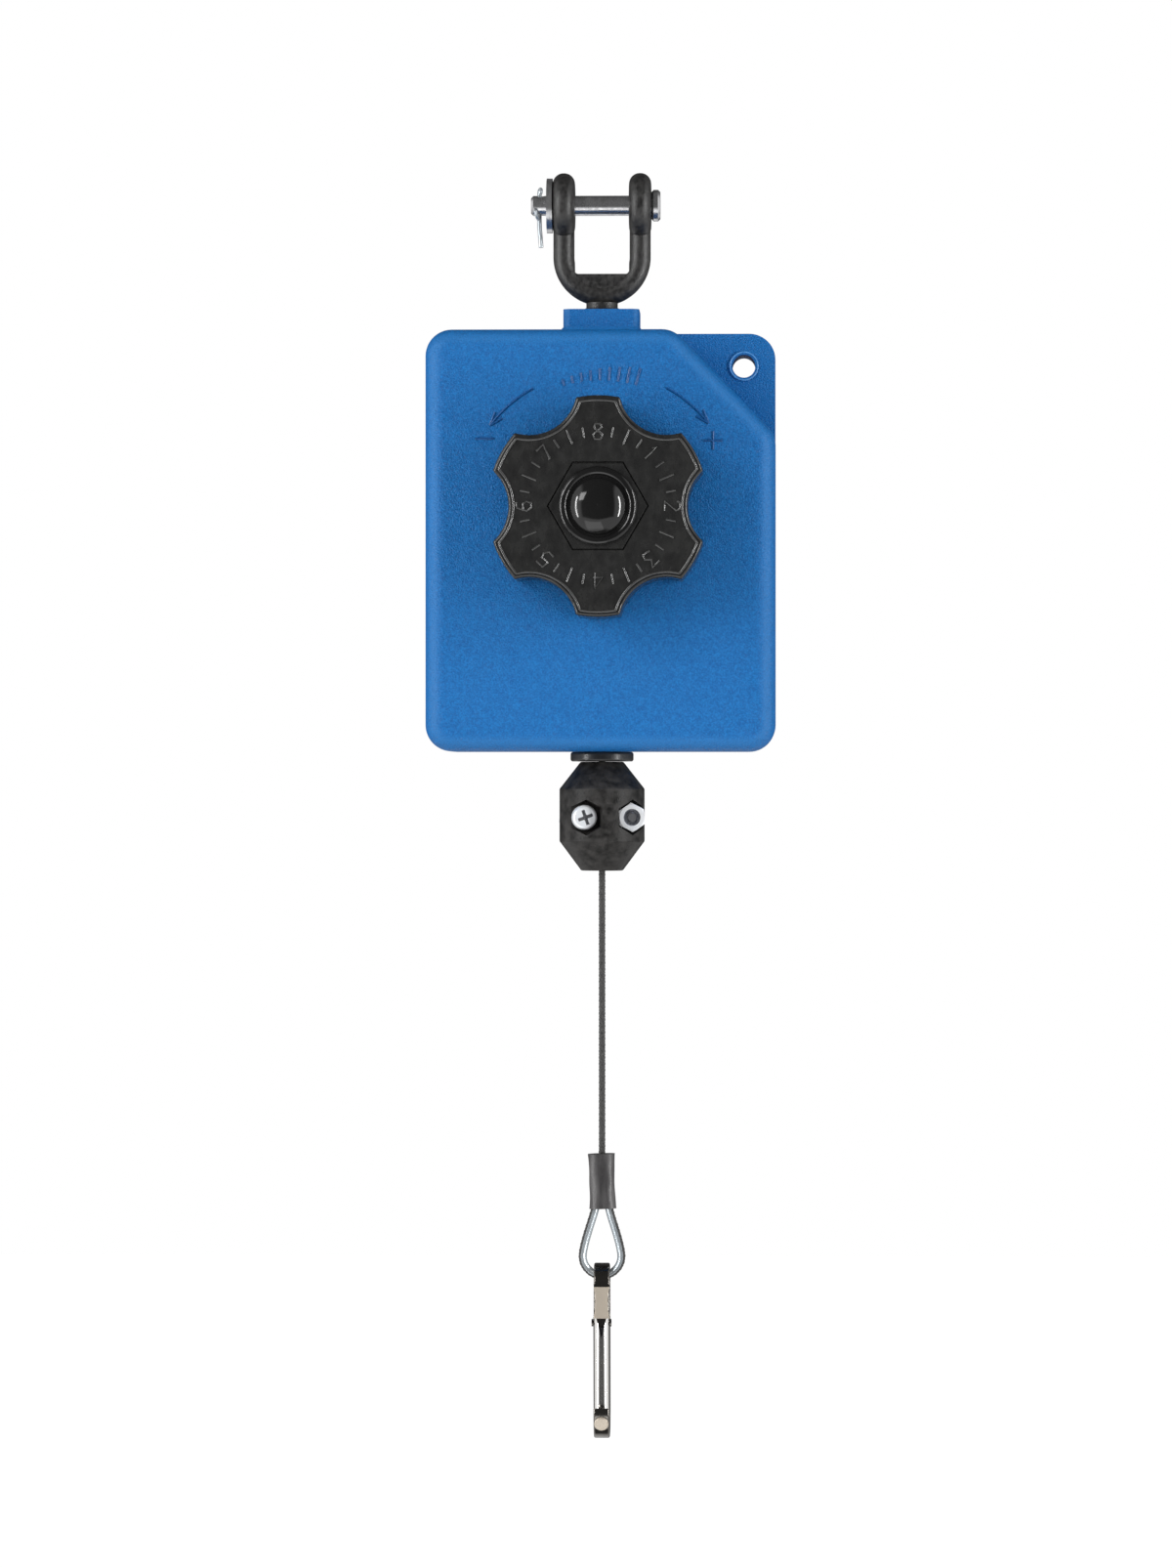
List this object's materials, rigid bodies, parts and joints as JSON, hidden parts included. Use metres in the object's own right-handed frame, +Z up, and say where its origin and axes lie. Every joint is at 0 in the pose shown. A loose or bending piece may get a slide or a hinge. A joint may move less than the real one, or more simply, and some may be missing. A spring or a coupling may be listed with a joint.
{
  "type": "tool retractor",
  "caption": "Spring-balanced tool retractor: flat case with a lobed tension knob, swivel clevis above, and a cord with a clamp stop and snap hook below.",
  "frame": {"origin": "middle of the clevis pin, where the retractor hangs", "axes": "+Z up along the cord and the swivel, +X right along the clevis pin, front with the knob faces -Y"},
  "size_m": [0.11, 0.0718, 0.4011],
  "materials": {
    "black_nylon": "moulded glass-filled nylon with soft flow marks",
    "blue_case": "moulded plastic with a fine even grain",
    "black_gloss": "smooth moulded plastic",
    "cap_gloss": "polished plastic",
    "bright_steel": "zinc plated steel",
    "nickel": "nickel plated steel",
    "spring_steel": "blued spring steel",
    "bronze": "sintered bronze",
    "ferrule_metal": "crimped aluminium",
    "grey_nylon": "moulded nylon",
    "cord_braid": "tight black braid",
    "shrink": "black shrink tube"
  },
  "bodies": {
    "clevis": {"clevis_yoke": "black_nylon", "swivel_stud": "bright_steel", "swivel_washer": "bright_steel", "swivel_nut": "bright_steel", "thrust_washer": "bright_steel"},
    "pin": {"clevis_pin": "bright_steel", "pin_washer": "bright_steel", "cotter_pin": "bright_steel"},
    "housing": {"front_shell": "blue_case", "rear_shell": "blue_case", "case_screws": "bright_steel", "cord_guide": "black_nylon", "ratchet_ring": "grey_nylon", "swivel_bush": "bronze", "front_bush": "bronze", "rear_bush": "bronze", "cord_lead": "cord_braid", "cord_payout": "cord_braid"},
    "arbor": {"arbor_shaft": "bright_steel", "drive_hex": "black_gloss", "hub_screw": "bright_steel", "hub_cap": "cap_gloss"},
    "knob": {"knob": "black_gloss", "knob_spring": "spring_steel"},
    "reel": {"reel": "grey_nylon", "reel_cover": "grey_nylon", "reel_screws": "bright_steel", "power_spring": "spring_steel", "wound_cord": "cord_braid"},
    "line": {"cord": "cord_braid", "ferrule": "ferrule_metal", "sleeve_cover": "shrink", "thimble": "nickel"},
    "stop": {"stop_front_half": "black_nylon", "stop_rear_half": "black_nylon", "stop_screws": "bright_steel", "stop_nuts": "bright_steel"},
    "hook": {"hook_body": "nickel", "gate_rivet": "nickel", "gate_spring": "spring_steel", "nose_rivet": "nickel"},
    "gate": {"hook_gate": "nickel"}
  },
  "joints": [
    {"name": "housing_swivel", "type": "hinge", "parent": "clevis", "child": "housing", "pos_m": [0, 0, -0.0336], "axis": [0, 0, 1], "continuous": true},
    {"name": "pin_spin", "type": "hinge", "parent": "clevis", "child": "pin", "pos_m": [0, 0, 0], "axis": [1, 0, 0], "continuous": true},
    {"name": "knob_turn", "type": "hinge", "parent": "housing", "child": "arbor", "pos_m": [0, 0, -0.0976], "axis": [0, 1, 0], "range_deg": [0, 1800]},
    {"name": "knob_pull", "type": "slide", "parent": "arbor", "child": "knob", "axis": [0, -1, 0], "range_m": [0, 0.005], "stiffness_N_per_m": 1500, "springref_m": -0.005, "deforming": ["knob_spring"]},
    {"name": "reel_spin", "type": "hinge", "parent": "housing", "child": "reel", "pos_m": [0, 0, -0.0976], "axis": [0, -1, 0], "range_deg": [0, 2700], "deforming": ["power_spring"]},
    {"name": "cord_pull", "type": "slide", "parent": "housing", "child": "line", "axis": [0, 0, -1], "range_m": [0, 1.50797], "stiffness_N_per_m": 4, "springref_m": -1.5, "deforming": ["cord_payout"]},
    {"name": "stop_slide", "type": "slide", "parent": "line", "child": "stop", "axis": [0, 0, -1], "range_m": [0, 0.085]},
    {"name": "hook_swing", "type": "hinge", "parent": "line", "child": "hook", "pos_m": [0, 0, -0.34215], "axis": [1, 0, 0], "range_deg": [-45, 45]},
    {"name": "gate_open", "type": "hinge", "parent": "hook", "child": "gate", "pos_m": [0, -0.00665, -0.35373], "axis": [1, 0, 0], "range_deg": [0, 18], "stiffness_Nm_per_rad": 0.02, "springref_deg": -17.19, "deforming": ["gate_spring"]}
  ],
  "couplings": [
    {"joint": "cord_pull", "follows": "reel_spin", "m_per_rad": 0.032}
  ]
}
